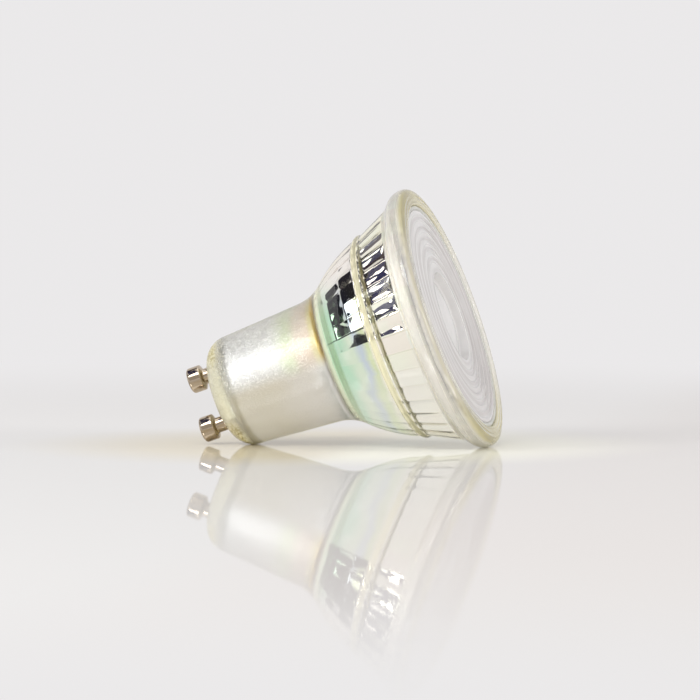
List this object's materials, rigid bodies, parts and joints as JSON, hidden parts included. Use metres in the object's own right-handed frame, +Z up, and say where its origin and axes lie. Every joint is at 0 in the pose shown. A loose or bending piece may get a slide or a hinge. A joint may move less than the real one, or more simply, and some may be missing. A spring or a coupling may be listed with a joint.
{
  "type": "gu10 spotlight bulb",
  "caption": "Reflector spotlight bulb: stippled glass neck, faceted mirror bowl, thick clear lip, moulded front lens and twist-lock contact pins.",
  "frame": {"origin": "middle of the lamp's box on the ground it lies on", "axes": "+Z up; the lamp's axis lies in the XZ plane and leans up from the ground, lens towards +X, pins towards -X"},
  "size_m": [0.0588, 0.05, 0.0474],
  "materials": {
    "pressed_glass": "clear pressed glass, mirror film on the inside, stippled neck",
    "lens_acrylic": "moulded translucent lens",
    "sealant": "cured silicone",
    "pin_nickel": "polished nickel plate",
    "steel": "plain",
    "spreader_aluminium": "pressed",
    "board_white": "white solder mask on metal",
    "phosphor": "phosphor gel",
    "board_green": "green solder mask",
    "capacitor_sleeve": "shrink sleeve",
    "ferrite": "ferrite drum with winding",
    "resistor_body": "lacquered",
    "film_case": "moulded case",
    "chip_case": "moulded case",
    "resistor_speck": "printed chip",
    "wire_tin": "tinned wire",
    "wire_sleeve": "insulated wire"
  },
  "bodies": {
    "root": {"glass_reflector": "pressed_glass", "front_lens": "lens_acrylic", "lens_seal": "sealant", "contact_pin_upper": "pin_nickel", "contact_pin_lower": "pin_nickel", "pin_washers": "steel", "heat_spreader": "spreader_aluminium", "led_board": "board_white", "led_packages": "phosphor", "driver_board": "board_green", "smoothing_capacitor": "capacitor_sleeve", "inductor": "ferrite", "fuse_resistor": "resistor_body", "film_capacitor": "film_case", "driver_chip": "chip_case", "bridge_rectifier": "chip_case", "chip_resistors": "resistor_speck", "lead_wire_upper": "wire_tin", "lead_wire_lower": "wire_tin", "led_wire_upper": "wire_sleeve", "led_wire_lower": "wire_sleeve"}
  },
  "joints": []
}
